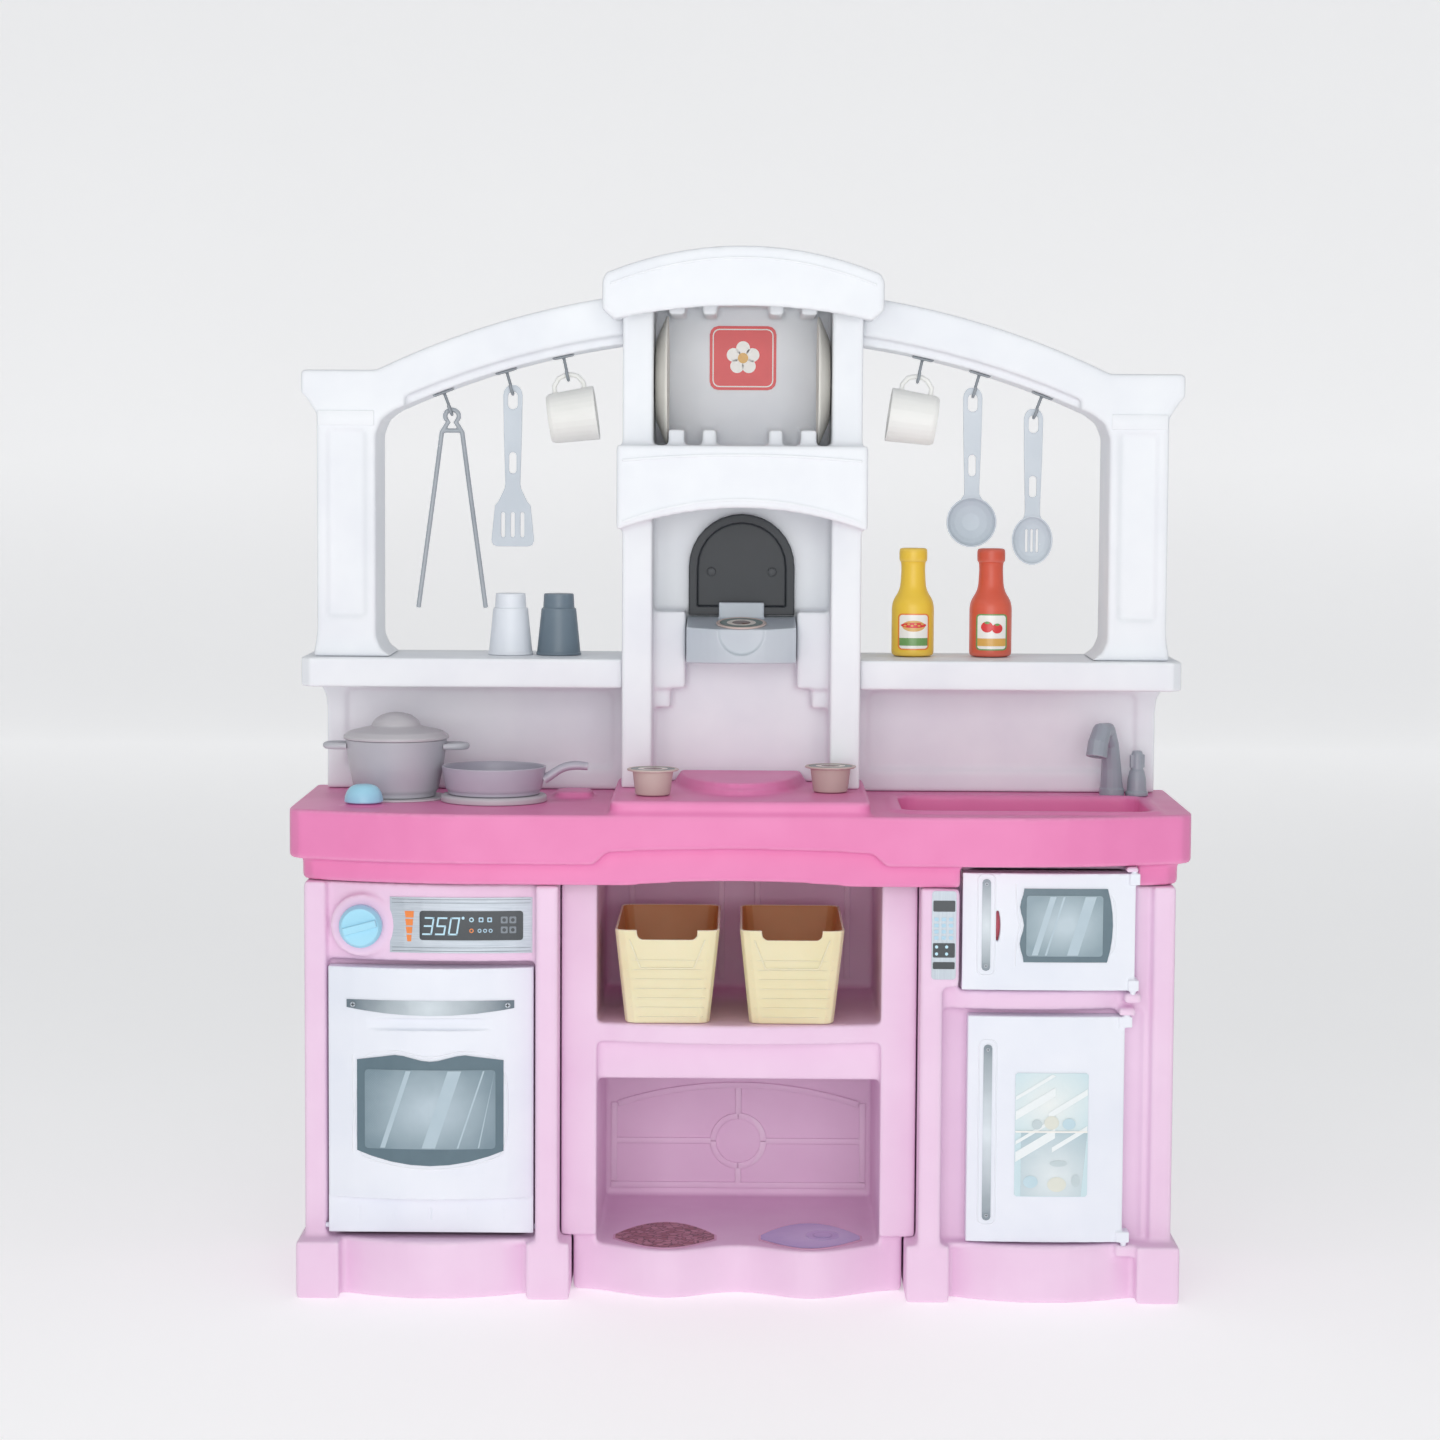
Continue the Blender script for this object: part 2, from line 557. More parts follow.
def make_centre_shelves():
    unit = block((-CENTRE_HALF, CENTRE_HALF), (STILE_FRONT, CABINET_BACK), (PLINTH_HEIGHT, CABINET_HEIGHT))
    foot_half = CENTRE_HALF - 0.012
    wave = [(x, wave_front(x)) for x in spread(-foot_half, foot_half, 28)]
    base = prism(wave + [(foot_half, CABINET_BACK), (-foot_half, CABINET_BACK)], 0, PLINTH_HEIGHT + 0.001)
    cut(base, block((-OPENING_HALF, OPENING_HALF), (FRONT, BAY_BACK), (LOWER_FLOOR, PLINTH_HEIGHT + 0.01)))
    add(unit, base)
    opening = (-OPENING_HALF, OPENING_HALF)
    cut(unit, block(opening, (FRONT, BAY_BACK), (SHELF_BOARD_TOP, CABINET_HEIGHT + 0.01)))
    cut(unit, block(opening, (FRONT, BAY_BACK), (LOWER_FLOOR, LOWER_BAY_TOP)))
    cut(unit, block(opening, (FRONT, FRONT + 0.060), (LOWER_BAY_TOP - 0.001, SHELF_BOARD_TOP - SHELF_EDGE)))
    bow = [(x, STILE_FRONT + 0.002 - bulge(x, -OPENING_HALF, OPENING_HALF, 0.018))
           for x in spread(-OPENING_HALF, OPENING_HALF, 10)]
    add(unit, prism(bow + [(OPENING_HALF, FRONT + 0.08), (-OPENING_HALF, FRONT + 0.08)],
                    SHELF_BOARD_TOP - SHELF_EDGE, SHELF_BOARD_TOP))
    cut(unit, block((-OPENING_HALF, OPENING_HALF), (FRONT + 0.066, BACK),
                    (LOWER_BAY_TOP + WALL, SHELF_BOARD_TOP - WALL)))
    cut(unit, block((-OPENING_HALF, OPENING_HALF), (FRONT + 0.068, BACK - 0.02),
                    (-0.01, LOWER_FLOOR - WALL)))
    for side in (LEFT, RIGHT):
        x = (side * (OPENING_HALF + WALL), side * (CENTRE_HALF - WALL))
        cut(unit, block(x, (STILE_FRONT + WALL, BACK), (PLINTH_HEIGHT + WALL, CABINET_HEIGHT - WALL)))
    return node("centre_shelves", unit, PINK, 0.42)


# ================================================================ hutch
def arch_circle():
    """Centre height and radius of the arch's top, through its two ends, about the kitchen's middle."""
    near, far = TOWER_HALF, PILLAR_IN
    height = (far ** 2 - near ** 2 - ARCH_RISE ** 2) / (2 * ARCH_RISE)
    radius = math.hypot(far, height)
    return CORNICE_TOP - height, radius


ARCH_CENTRE, ARCH_RADIUS = arch_circle()
FASCIA_DROP = 0.0406
LIP_DROP = 0.0500


def arch_z(x, drop=0.0):
    return ARCH_CENTRE - drop + math.sqrt(ARCH_RADIUS ** 2 - x ** 2)


TOWER_SIDE = TOWER_HALF + GAP


def make_backsplash(side):
    flare = [(PILLAR_OUT, TOP_Z + GAP)]
    flare += [(PILLAR_OUT + 0.016 * (1 - math.cos(math.radians(a))),
               SHELF_Z - 0.030 + 0.030 * math.sin(math.radians(a)))
              for a in (0, 30, 60, 90)]
    face = [(TOWER_SIDE, TOP_Z + GAP)] + flare + [(TOWER_SIDE, SHELF_Z)]
    shape = prism([(side * x, z) for x, z in face], SPLASH_FRONT, BACK, "Y")
    shelf_plan = [(side * x, y) for x, y in ((TOWER_SIDE, SHELF_FRONT), (HALF - 0.010, SHELF_FRONT),
                                             (HALF, SHELF_FRONT + 0.010), (HALF, BACK), (TOWER_SIDE, BACK))]
    add(shape, prism(shelf_plan, SHELF_Z - 0.001, SHELF_TOP))
    low, high = TOWER_SIDE + WALL, PILLAR_OUT - WALL
    cut(shape, block((side * low, side * high), (SPLASH_FRONT + WALL, BACK + 0.01),
                     (TOP_Z + WALL, SHELF_Z - 0.003)))
    cut(shape, block((side * low, side * high), (SHELF_FRONT + WALL, BACK + 0.01),
                     (SHELF_Z + WALL, SHELF_TOP - WALL)))
    recess = rounded(side * (TOWER_SIDE + 0.012), side * (PILLAR_OUT - 0.020), TOP_Z + 0.022,
                     SHELF_Z - 0.008, 0.008)
    cut(shape, prism(recess, SPLASH_FRONT - 0.01, SPLASH_FRONT + 0.003, "Y"))
    return node({LEFT: "left_backsplash", RIGHT: "right_backsplash"}[side], shape, WHITE, 0.4)


def make_arch_frame(side):
    """Pillar and arch of one window, standing on the shelf."""
    base = SHELF_TOP + GAP
    front, back = HUTCH_FRONT, HUTCH_FRONT + FRAME_DEPTH
    lower = [(x, arch_z(x, LIP_DROP)) for x in spread(TOWER_SIDE, PILLAR_IN - 0.018, 10)]
    corner = arch_z(PILLAR_IN - 0.018, LIP_DROP)
    lower += [(PILLAR_IN - 0.006, corner - 0.009), (PILLAR_IN, corner - 0.024)]
    pillar = [(PILLAR_IN, base + 0.020), (PILLAR_IN - 0.005, base + 0.008), (PILLAR_IN - 0.016, base),
              (PILLAR_OUT + 0.004, base), (PILLAR_OUT, base + 0.026)]
    top_end = [(PILLAR_OUT, CORNICE_Z - 0.016), (PILLAR_OUT + 0.010, CORNICE_Z), (HALF, CORNICE_Z + 0.006),
               (HALF, CORNICE_TOP - 0.003), (HALF - 0.003, CORNICE_TOP)]
    upper = [(x, arch_z(x)) for x in spread(PILLAR_IN, TOWER_SIDE, 10)]
    outline = [(side * x, z) for x, z in lower + pillar + top_end + upper]
    shape = prism(outline, front, back, "Y")
    step = [(x, arch_z(x, FASCIA_DROP)) for x in spread(TOWER_SIDE - 0.001, PILLAR_IN - 0.03, 8)]
    step += [(PILLAR_IN - 0.03, arch_z(PILLAR_IN, 0.09)), (TOWER_SIDE - 0.001, arch_z(PILLAR_IN, 0.09))]
    cut(shape, prism([(side * x, z) for x, z in step], front - 0.01, front + 0.010, "Y"))
    hollow = [(side * x, z) for x, z in ((PILLAR_IN + WALL, base + 0.030),
                                         (PILLAR_OUT - WALL, base + 0.030),
                                         (PILLAR_OUT - WALL, CORNICE_Z), (PILLAR_IN + WALL, CORNICE_Z))]
    cut(shape, prism(hollow, front + 0.008, back + 0.01, "Y"))
    tunnel = [(x, arch_z(x, LIP_DROP - 0.010)) for x in spread(TOWER_SIDE + 0.008, PILLAR_IN - 0.02, 8)]
    tunnel += [(x, arch_z(x, 0.009)) for x in spread(PILLAR_IN - 0.02, TOWER_SIDE + 0.008, 8)]
    cut(shape, prism([(side * x, z) for x, z in tunnel], front + 0.018, back + 0.01, "Y"))
    panel = rounded(side * (PILLAR_IN + 0.010), side * (PILLAR_OUT - 0.010), base + 0.040,
                    CORNICE_Z - 0.030, 0.006)
    cut(shape, prism(panel, front - 0.01, front + 0.003, "Y"))
    return node({LEFT: "left_arch_frame", RIGHT: "right_arch_frame"}[side], shape, WHITE, 0.4)


TOWER_Z = BOARD_Z + GAP
CEILING_Z = CORNICE_TOP + 0.069
TOWER_TOP = CROWN_TOP - 0.0325
LEDGE_Z = CEILING_Z - 0.1445
HOOD_Z = LEDGE_Z - 0.086
PILASTER = 0.0312
RACK_HALF = TOWER_HALF - PILASTER
SLOT_WIDTH = PLATE_DEPTH + 0.0026
RACK_BACK = BACK - 0.030
RACK_BLOCKS = ((RACK_HALF - SLOT_WIDTH - 0.0160, RACK_HALF - SLOT_WIDTH), (0.0265, 0.0410))


def make_tower():
    low, high = TOWER_Z, TOWER_TOP
    shape = block((-TOWER_HALF, TOWER_HALF), (TOWER_FRONT, BACK), (low, high))
    inner = (-RACK_HALF, RACK_HALF)
    cut(shape, block(inner, (TOWER_FRONT - 0.01, BAY_WALL), (low - 0.01, LEDGE_Z - WALL)))
    cut(shape, block(inner, (TOWER_FRONT - 0.01, RACK_BACK), (LEDGE_Z, CEILING_Z)))
    cut(shape, block((-RACK_HALF, RACK_HALF), (BAY_WALL + WALL, BACK + 0.01), (low + WALL, LEDGE_Z - WALL)))
    for side in (LEFT, RIGHT):
        x = (side * (RACK_HALF + WALL), side * (TOWER_HALF - WALL))
        cut(shape, block(x, (TOWER_FRONT + WALL, BACK + 0.01), (low + WALL, high - WALL)))
    cut(shape, block(inner, (TOWER_FRONT - 0.01, BACK + 0.01), (CEILING_Z + WALL, high + 0.01)))
    hood_half = TOWER_HALF + 0.005
    arch = [(x, HOOD_Z + bulge(x, -hood_half, hood_half, 0.023)) for x in spread(-hood_half, hood_half, 12)]
    hood = prism(arch + [(hood_half, LEDGE_Z), (-hood_half, LEDGE_Z)], HOOD_FRONT, TOWER_FRONT + 0.002, "Y")
    room = [(x * (hood_half - WALL) / hood_half, z - 0.03) for x, z in arch]
    inside = hood_half - WALL
    cut(hood, prism(room + [(inside, LEDGE_Z - WALL), (-inside, LEDGE_Z - WALL)], HOOD_FRONT + 0.007,
                    TOWER_FRONT - WALL, "Y"))
    cut(hood, block(inner, (TOWER_FRONT - WALL - 0.002, TOWER_FRONT + 0.01),
                    (HOOD_Z - 0.01, LEDGE_Z - WALL)))
    add(shape, hood)
    for near, far in RACK_BLOCKS:
        for side in (LEFT, RIGHT):
            x = (side * near, side * far)
            add(shape, block(x, (TOWER_FRONT + 0.004, RACK_BACK + 0.002),
                             (LEDGE_Z - 0.002, LEDGE_Z + 0.016)))
            add(shape, block(x, (TOWER_FRONT + 0.004, RACK_BACK + 0.002),
                             (CEILING_Z - 0.012, CEILING_Z + 0.002)))
    for side in (LEFT, RIGHT):
        bracket = (side * (RACK_HALF + 0.001), side * (COFFEE_HALF + 0.001))
        add(shape, block(bracket, (BAY_WALL - 0.034, BAY_WALL + 0.002),
                         (COFFEE_Z - 0.028, COFFEE_Z + 0.052)))
        step = (side * (RACK_HALF + 0.001), side * (RACK_HALF - 0.018))
        add(shape, block(step, (BAY_WALL - 0.030, BAY_WALL + 0.002), (COFFEE_Z - 0.048, COFFEE_Z - 0.027)))
    return node("hood_tower", shape, WHITE, 0.4)


def make_crown():
    half = TOWER_HALF + 0.020
    radius_top, radius_low = 0.36 * half / 0.1422, 0.60 * half / 0.1422
    low = CROWN_TOP - 0.0601
    upper = [(x, CROWN_TOP - radius_top + math.sqrt(radius_top ** 2 - x ** 2))
             for x in spread(half - 0.004, -half + 0.004, 14)]
    end = upper[0][1]
    lower = [(x, low - radius_low + math.sqrt(radius_low ** 2 - x ** 2))
             for x in spread(-half + 0.012, half - 0.012, 12)]
    sides = [(-half, end - 0.008), (-half, low - 0.004), (-half + 0.012, lower[0][1] + 0.001)]
    other = [(-x, z) for x, z in reversed(sides)]
    shape = prism(upper + sides[:2] + lower + other[1:], HOOD_FRONT, BACK, "Y")
    inside = (-(TOWER_HALF + GAP), TOWER_HALF + GAP)
    cut(shape, block(inside, (TOWER_FRONT - GAP, BACK + 0.01), (low - 0.05, TOWER_TOP + GAP)))
    cut(shape, block((-TOWER_HALF + WALL, TOWER_HALF - WALL), (HOOD_FRONT + 0.008, BACK - 0.008),
                     (low - 0.05, TOWER_TOP - 0.002)))
    for side in (LEFT, RIGHT):
        beside = (side * (TOWER_HALF + GAP - 0.001), side * (half + 0.01))
        clear = arch_z(TOWER_SIDE) + GAP
        cut(shape, block(beside, (HUTCH_FRONT - GAP, BACK + 0.01), (low - 0.05, clear)))
    return node("hood_crown", shape, WHITE, 0.4)


# ================================================================ coffee maker
COFFEE_Z = TOWER_Z + 0.1275     # underside of the tray
COFFEE_HALF = 0.0565
TRAY_BACK_Z = COFFEE_Z + 0.0465
TRAY_FRONT_Z = COFFEE_Z + 0.0350
TRAY_FRONT = BAY_WALL - 0.072
POD_SLOPE = math.atan2(TRAY_BACK_Z - TRAY_FRONT_Z, BAY_WALL - TRAY_FRONT)
BACK_PLATE = 0.010


def tray_height(y):
    return TRAY_BACK_Z + (y - BAY_WALL) * (TRAY_BACK_Z - TRAY_FRONT_Z) / (BAY_WALL - TRAY_FRONT)


POD_SEAT_Y = BAY_WALL - BACK_PLATE - 0.0085 - POD_RADIUS
POD_SEAT = (0.0, POD_SEAT_Y, tray_height(POD_SEAT_Y) + GAP)
POD_TILT = Matrix.Rotation(POD_SLOPE, 4, "X")


def make_coffee_maker():
    half, radius = 0.055, 0.055
    low = TRAY_BACK_Z + 2 * GAP
    top = low + 0.105
    outline = [(-half, low), (half, low)] + arc_points((0, top - radius), radius, 0, 180, 16)
    plate = prism(outline, BAY_WALL - BACK_PLATE, BAY_WALL - GAP, "Y")
    inner = [(-half + 0.009, low + 0.009), (half - 0.009, low + 0.009)]
    inner += arc_points((0, top - radius), radius - 0.009, 0, 180, 14)
    cut(plate, prism(inner, BAY_WALL - BACK_PLATE - 0.005, BAY_WALL - 0.0045, "Y"))
    node("coffee_back", plate, DARK, 0.4)

    front = [(x, TRAY_FRONT + 0.012 - bulge(x, -COFFEE_HALF, COFFEE_HALF,
                                            0.012)) for x in spread(-COFFEE_HALF, COFFEE_HALF, 14)]
    tray = prism(front + [(COFFEE_HALF, BAY_WALL - GAP), (-COFFEE_HALF, BAY_WALL - GAP)], COFFEE_Z,
                 TRAY_BACK_Z)
    above = [(TRAY_FRONT - 0.01, tray_height(TRAY_FRONT - 0.01)), (BAY_WALL - 0.0002, TRAY_BACK_Z),
             (BAY_WALL + 0.01, TRAY_BACK_Z),
             (BAY_WALL + 0.01, TRAY_BACK_Z + 0.02), (TRAY_FRONT - 0.01, TRAY_BACK_Z + 0.02)]
    cut(tray, prism(above, -0.1, 0.1, "X"))
    tab_y = (BAY_WALL - BACK_PLATE - 0.0058, BAY_WALL - BACK_PLATE - GAP)
    add(tray, block((-0.0235, 0.0235), tab_y, (tray_height(tab_y[0]) - 0.002, TRAY_BACK_Z + 0.014)))
    seat = Matrix.Translation(Vector(POD_SEAT)) @ POD_TILT
    well = turned([(0, -POD_HEIGHT - 0.001), (POD_RADIUS - 0.0045, -POD_HEIGHT - 0.001),
                   (POD_RADIUS - 0.0045, 0.02), (0, 0.02)], (0, 0, 0))
    well.data.transform(seat)
    cut(tray, well)
    notch = arc_points((0, TRAY_FRONT_Z - 0.002), 0.024, 180, 360, 12)
    notch += [(0.024, TRAY_FRONT_Z + 0.02), (-0.024, TRAY_FRONT_Z + 0.02)]
    cut(tray, prism(notch, TRAY_FRONT - 0.01, TRAY_FRONT + 0.0030, "Y"))
    node("coffee_base", tray, SILVER, 0.35, 0.2)


def make_pod(name, seat, tilt=None):
    """Coffee capsule: a tapered cup with a rim, closed by its lid. seat is under the rim's middle."""
    tilt = tilt or Matrix.Identity(4)
    profile = [(0, -POD_HEIGHT + 0.002), (POD_RADIUS - 0.0085, -POD_HEIGHT + 0.002),
               (POD_RADIUS - 0.0055, 0),
               (POD_RADIUS, 0), (POD_RADIUS, 0.0020), (0, 0.0020)]
    pod = turned(profile, seat, 24, tilt)
    return node(name, pod, (0.63, 0.48, 0.45), 0.5, pivot=seat, smooth=True)


# ================================================================ doors
OVEN_DOOR_X = (-(OVEN_HIGH_X - DOOR_GAP), -(OVEN_LOW_X + DOOR_GAP))
OVEN_DOOR_Z = (PLINTH_HEIGHT + 0.0055, OVEN_TOP - 0.006)
OVEN_DOOR_BACK = NICHE_BACK - 0.0030
OVEN_DOOR_FRONT = FRONT + 0.0345
OVEN_LEDGE_TOP = PLINTH_HEIGHT + 0.042
OVEN_DOOR_BULGE = 0.015
DOOR_SKIN = 0.010              # thickness of the hollow doors' front and side walls


def oven_face(x):
    return OVEN_DOOR_FRONT - bulge(x, *OVEN_DOOR_X, OVEN_DOOR_BULGE)


def fridge_face(x):
    return FRONT + 0.0255 - bulge(x, *FRIDGE_DOOR_X, 0.004)


def microwave_face(x):
    return FRONT + 0.0190 - bulge(x, *MICROWAVE_DOOR_X, 0.003)


def faced(face, x_range, z_range, back, steps=8):
    """Slab with a bowed front that follows face(x)."""
    line = [(x, face(x)) for x in spread(*x_range, steps)]
    return prism(line + [(x_range[1], back), (x_range[0], back)], *z_range)


def print_on(face, outline, x_range, steps=8):
    """Printed label that lies on a bowed front."""
    low = [(x, face(x) - GAP - LABEL) for x in spread(*x_range, steps)]
    high = [(x, face(x) - GAP) for x in spread(*reversed(x_range), steps)]
    z_low, z_high = min(z for _, z in outline), max(z for _, z in outline)
    skin = prism(low + high, z_low - 0.01, z_high + 0.01)
    return shared(skin, prism(outline, FRONT - 0.02, BACK, "Y"))


def make_oven_door():
    low, high = OVEN_DOOR_X
    middle = (low + high) / 2
    door = faced(oven_face, OVEN_DOOR_X, (OVEN_LEDGE_TOP, OVEN_DOOR_Z[1]), OVEN_DOOR_BACK)
    ledge = block(OVEN_DOOR_X, (OVEN_DOOR_FRONT - 0.0005, OVEN_DOOR_BACK),
                  (OVEN_DOOR_Z[0], OVEN_LEDGE_TOP + 0.001))
    add(door, ledge)
    room = (OVEN_DOOR_FRONT + 0.006, OVEN_DOOR_BACK + 0.01)
    cut(door, block((low + DOOR_SKIN, high - DOOR_SKIN), room,
                    (OVEN_LEDGE_TOP, OVEN_DOOR_Z[1] - DOOR_SKIN)))
    for share in (-0.4, -0.2, 0.0, 0.2, 0.4):
        x = middle + share * (high - low) * 0.88
        groove = (OVEN_DOOR_Z[0] + 0.012, OVEN_DOOR_Z[0] + 0.026)
        cut(door, block((x - 0.001, x + 0.001), (FRONT, OVEN_DOOR_FRONT + 0.001), groove))
    grip_z = OVEN_DOOR_Z[1] - 0.0565
    grip = rounded(middle - 0.085, middle + 0.085, grip_z - 0.006, grip_z + 0.006, 0.005)
    cut(door, prism(grip, FRONT, OVEN_DOOR_FRONT - 0.009, "Y"))
    y, z = OVEN_AXIS
    for start, end in ((low + 0.002, low - DOOR_GAP - PIN_REACH),
                       (high - 0.002, high + DOOR_GAP + PIN_REACH)):
        add(door, rod((start, y, z), (end, y, z), PIN_RADIUS))
    node("oven_door", door, DOOR_WHITE, 0.35, pivot=(middle, y, z))

    peak, bottom = OVEN_DOOR_Z[1] - 0.0874, OVEN_DOOR_Z[0] + 0.0855
    half, crest = 0.0735, 0.0352
    window = [(middle - half, bottom), (middle - half, peak - 0.0055)]
    window += [(middle + a, peak - 0.0064 * (0.5 + 0.5 * math.cos(math.pi * a / crest)))
               for a in spread(-crest, crest, 8)]
    window += [(middle + half, peak - 0.0055), (middle + half, bottom)]
    window += [(middle + a, bottom - bulge(a, -half, half, 0.0145))
               for a in spread(half * 0.8, -half * 0.8, 6)]
    label = print_on(oven_face, window, (middle - half - 0.002, middle + half + 0.002))
    node("oven_window_label", label, (0.35, 0.47, 0.52), 0.2, pivot=(middle, y, z))

    bar_z = OVEN_DOOR_Z[1] - 0.0325
    bar = [(middle - 0.084, bar_z), (middle - 0.084, bar_z - 0.008)]
    bar += [(middle + a, bar_z - 0.008 - bulge(a, -0.084, 0.084, 0.007)) for a in spread(-0.07, 0.07, 6)]
    bar += [(middle + 0.084, bar_z - 0.008), (middle + 0.084, bar_z)]
    label = print_on(oven_face, bar, (middle - 0.087, middle + 0.087))
    node("oven_handle_label", label, SILVER, 0.3, 0.4, pivot=(middle, y, z))


def hang_door(face, x_range, z_range, back, axis, pin_z):
    """Side-hung door: hollow slab with two pins on the hinge axis."""
    x, y = axis
    door = faced(face, x_range, z_range, back)
    middle = (z_range[0] + z_range[1]) / 2
    for end_z in z_range:
        inward = 0.011 if end_z < middle else -0.011
        span = (end_z, end_z + inward) if end_z < middle else (end_z + inward, end_z)
        add(door, block((x_range[1] - 0.006, max(x + 0.0055, x_range[1])), (y - 0.0035, back - 0.004),
                        span))
    add(door, rod((x, y, z_range[0] + 0.003), (x, y, pin_z[0]), PIN_RADIUS))
    add(door, rod((x, y, z_range[1] - 0.003), (x, y, pin_z[1]), PIN_RADIUS))
    room = (face(x_range[0]) + 0.008, back + 0.01)
    cut(door, block((x_range[0] + 0.008, x_range[1] - 0.012), room,
                    (z_range[0] + 0.008, z_range[1] - 0.008)))
    return door


def make_microwave_door():
    low, high = MICROWAVE_DOOR_X
    z0, z1 = MICROWAVE_DOOR_Z
    pins = (MICROWAVE_Z[0] - 0.006, HOUSING_TOP - 0.0025)
    door = hang_door(microwave_face, MICROWAVE_DOOR_X, MICROWAVE_DOOR_Z, MICROWAVE_BACK - GAP,
                     MICROWAVE_AXIS, pins)
    pivot = (*MICROWAVE_AXIS, (z0 + z1) / 2)
    slot_z, slot_half = z1 - 0.0527, 0.0228
    slot = [(low + 0.0334 + bulge(a, -slot_half, slot_half, 0.0043), slot_z + a)
            for a in spread(-slot_half, slot_half, 10)]
    cut(door, prism(slot, FRONT, MICROWAVE_BACK + 0.01, "Y"))
    node("microwave_door", door, DOOR_WHITE, 0.35, pivot=pivot)

    mid, tall = (z0 + z1) / 2 + 0.0068, 0.0369
    left = [(low + 0.0589 + 0.0020 * math.cos(4 * math.pi * share), mid + tall - 2 * tall * share)
            for share in spread(0, 1, 12)]
    right = [(high - 0.0280 + bulge(a, -tall, tall, 0.0055), mid + a) for a in spread(-tall, tall, 6)]
    label = print_on(microwave_face, left + right, (low + 0.050, high - 0.018))
    node("microwave_window_label", label, (0.35, 0.47, 0.52), 0.2, pivot=pivot)

    bar = rounded(low + 0.0194, low + 0.0278, mid - 0.046, mid + 0.046, 0.0035, 2)
    label = print_on(microwave_face, bar, (low + 0.016, low + 0.030), 2)
    node("microwave_handle_label", label, SILVER, 0.3, 0.4, pivot=pivot)


def make_fridge_door():
    low, high = FRIDGE_DOOR_X
    z0, z1 = FRIDGE_DOOR_Z
    pins = (PLINTH_HEIGHT - 0.005, z1 + 0.0046)
    door = hang_door(fridge_face, FRIDGE_DOOR_X, FRIDGE_DOOR_Z, FRIDGE_BACK - GAP, FRIDGE_AXIS, pins)
    pivot = (*FRIDGE_AXIS, (z0 + z1) / 2)
    node("fridge_door", door, DOOR_WHITE, 0.35, pivot=pivot)
    picture = rounded(low + 0.0480, high - 0.0360, z0 + 0.047, z1 - 0.057, 0.002, 1)
    label = print_on(fridge_face, picture, (low + 0.040, high - 0.030))
    node("fridge_picture_label", label, (0.60, 0.75, 0.78), 0.3, pivot=pivot)
    bar = rounded(low + 0.0160, low + 0.0245, z0 + 0.022, z1 - 0.029, 0.0035, 2)
    label = print_on(fridge_face, bar, (low + 0.013, low + 0.028), 2)
    node("fridge_handle_label", label, SILVER, 0.3, 0.4, pivot=pivot)


def make_fixed_labels():
    x0, x1 = -(CABINET_OUT - 0.0875), -(CABINET_IN + 0.0265)
    z0, z1 = CABINET_HEIGHT - 0.0697, CABINET_HEIGHT - 0.0137
    round_knob = arc_points(OVEN_KNOB, 0.0321, 27, -27, 6)
    panel = print_on(lambda x: panel_line(-x), [(x0, z0), (x1, z0), (x1, z1), (x0, z1)] + round_knob,
                     (x0 - 0.004, x1 + 0.002))
    node("oven_control_label", panel, SILVER, 0.3, 0.4)
    keypad = rounded(*KEYPAD_X, CABINET_HEIGHT - 0.0905, CABINET_HEIGHT - 0.0020, 0.0030)
    strip = prism(keypad, KEYPAD_FRONT - GAP - LABEL, KEYPAD_FRONT - GAP, "Y")
    node("microwave_keypad_label", strip, SILVER, 0.3, 0.4)
    badge_z = (CEILING_Z + LEDGE_Z) / 2 + 0.0195
    badge = prism(rounded(-0.035, 0.035, badge_z - 0.0335, badge_z + 0.0335, 0.009),
                  RACK_BACK - GAP - LABEL, RACK_BACK - GAP, "Y")
    node("badge", badge, (0.71, 0.06, 0.065), 0.35)
    for side, name, colour in ((LEFT, "bowl_label_left", (0.40, 0.20, 0.19)),
                               (RIGHT, "bowl_label_right", (0.55, 0.45, 0.72))):
        centre = side * OPENING_HALF * 0.52
        half = OPENING_HALF * 0.37
        front = [(centre + a, wave_front(centre + a) + 0.006 + 0.02 * (a / half) ** 2)
                 for a in spread(-half, half, 10)]
        back = [(centre + a, FRONT + 0.150 - 0.060 * (a / half) ** 2) for a in spread(half, -half, 10)]
        bowl = prism(front + back, LOWER_FLOOR + GAP, LOWER_FLOOR + GAP + LABEL)
        node(name, bowl, colour, 0.4)


# ================================================================ knobs and tap
def make_knobs():
    x, z = OVEN_KNOB
    turn = Matrix.Rotation(math.radians(90), 4, "X")
    knob = turned([(0, 0), (OVEN_KNOB_RADIUS, 0), (OVEN_KNOB_RADIUS, 0.010),
                   (OVEN_KNOB_RADIUS - 0.003, 0.0155), (0, 0.0155)],
                  (x, KNOB_PAD_FRONT - GAP, z), SEGMENTS, turn)
    grip = block((-0.0035, 0.0035), (0, 0.005), (-0.017, 0.017))
    grip.data.transform(Matrix.Translation((x, KNOB_PAD_FRONT - 0.0200,
                                            z)) @ Matrix.Rotation(math.radians(75), 4, "Y"))
    add(knob, grip)
    add(knob, rod((x, KNOB_PAD_FRONT - 0.004, z), (x, KNOB_PAD_FRONT + 0.010, z), SHAFT_RADIUS))
    node("oven_knob", knob, SKY, 0.35, pivot=(x, KNOB_PAD_FRONT, z))

    x, y = STOVE_KNOB
    low = TOP_Z + KNOB_BOSS + GAP
    dome = [(0, 0), (KNOB_RADIUS, 0)]
    dome += [(KNOB_RADIUS * math.cos(math.radians(a)) ** 0.6,
              0.0185 * math.sin(math.radians(a))) for a in (15, 35, 55, 75)]
    knob = turned(dome + [(0, 0.0185)], (x, y, low))
    add(knob, rod((x, y, low + 0.003), (x, y, TOP_Z - 0.010), SHAFT_RADIUS))
    node("stove_knob", knob, SKY, 0.35, pivot=(x, y, low), smooth=True)


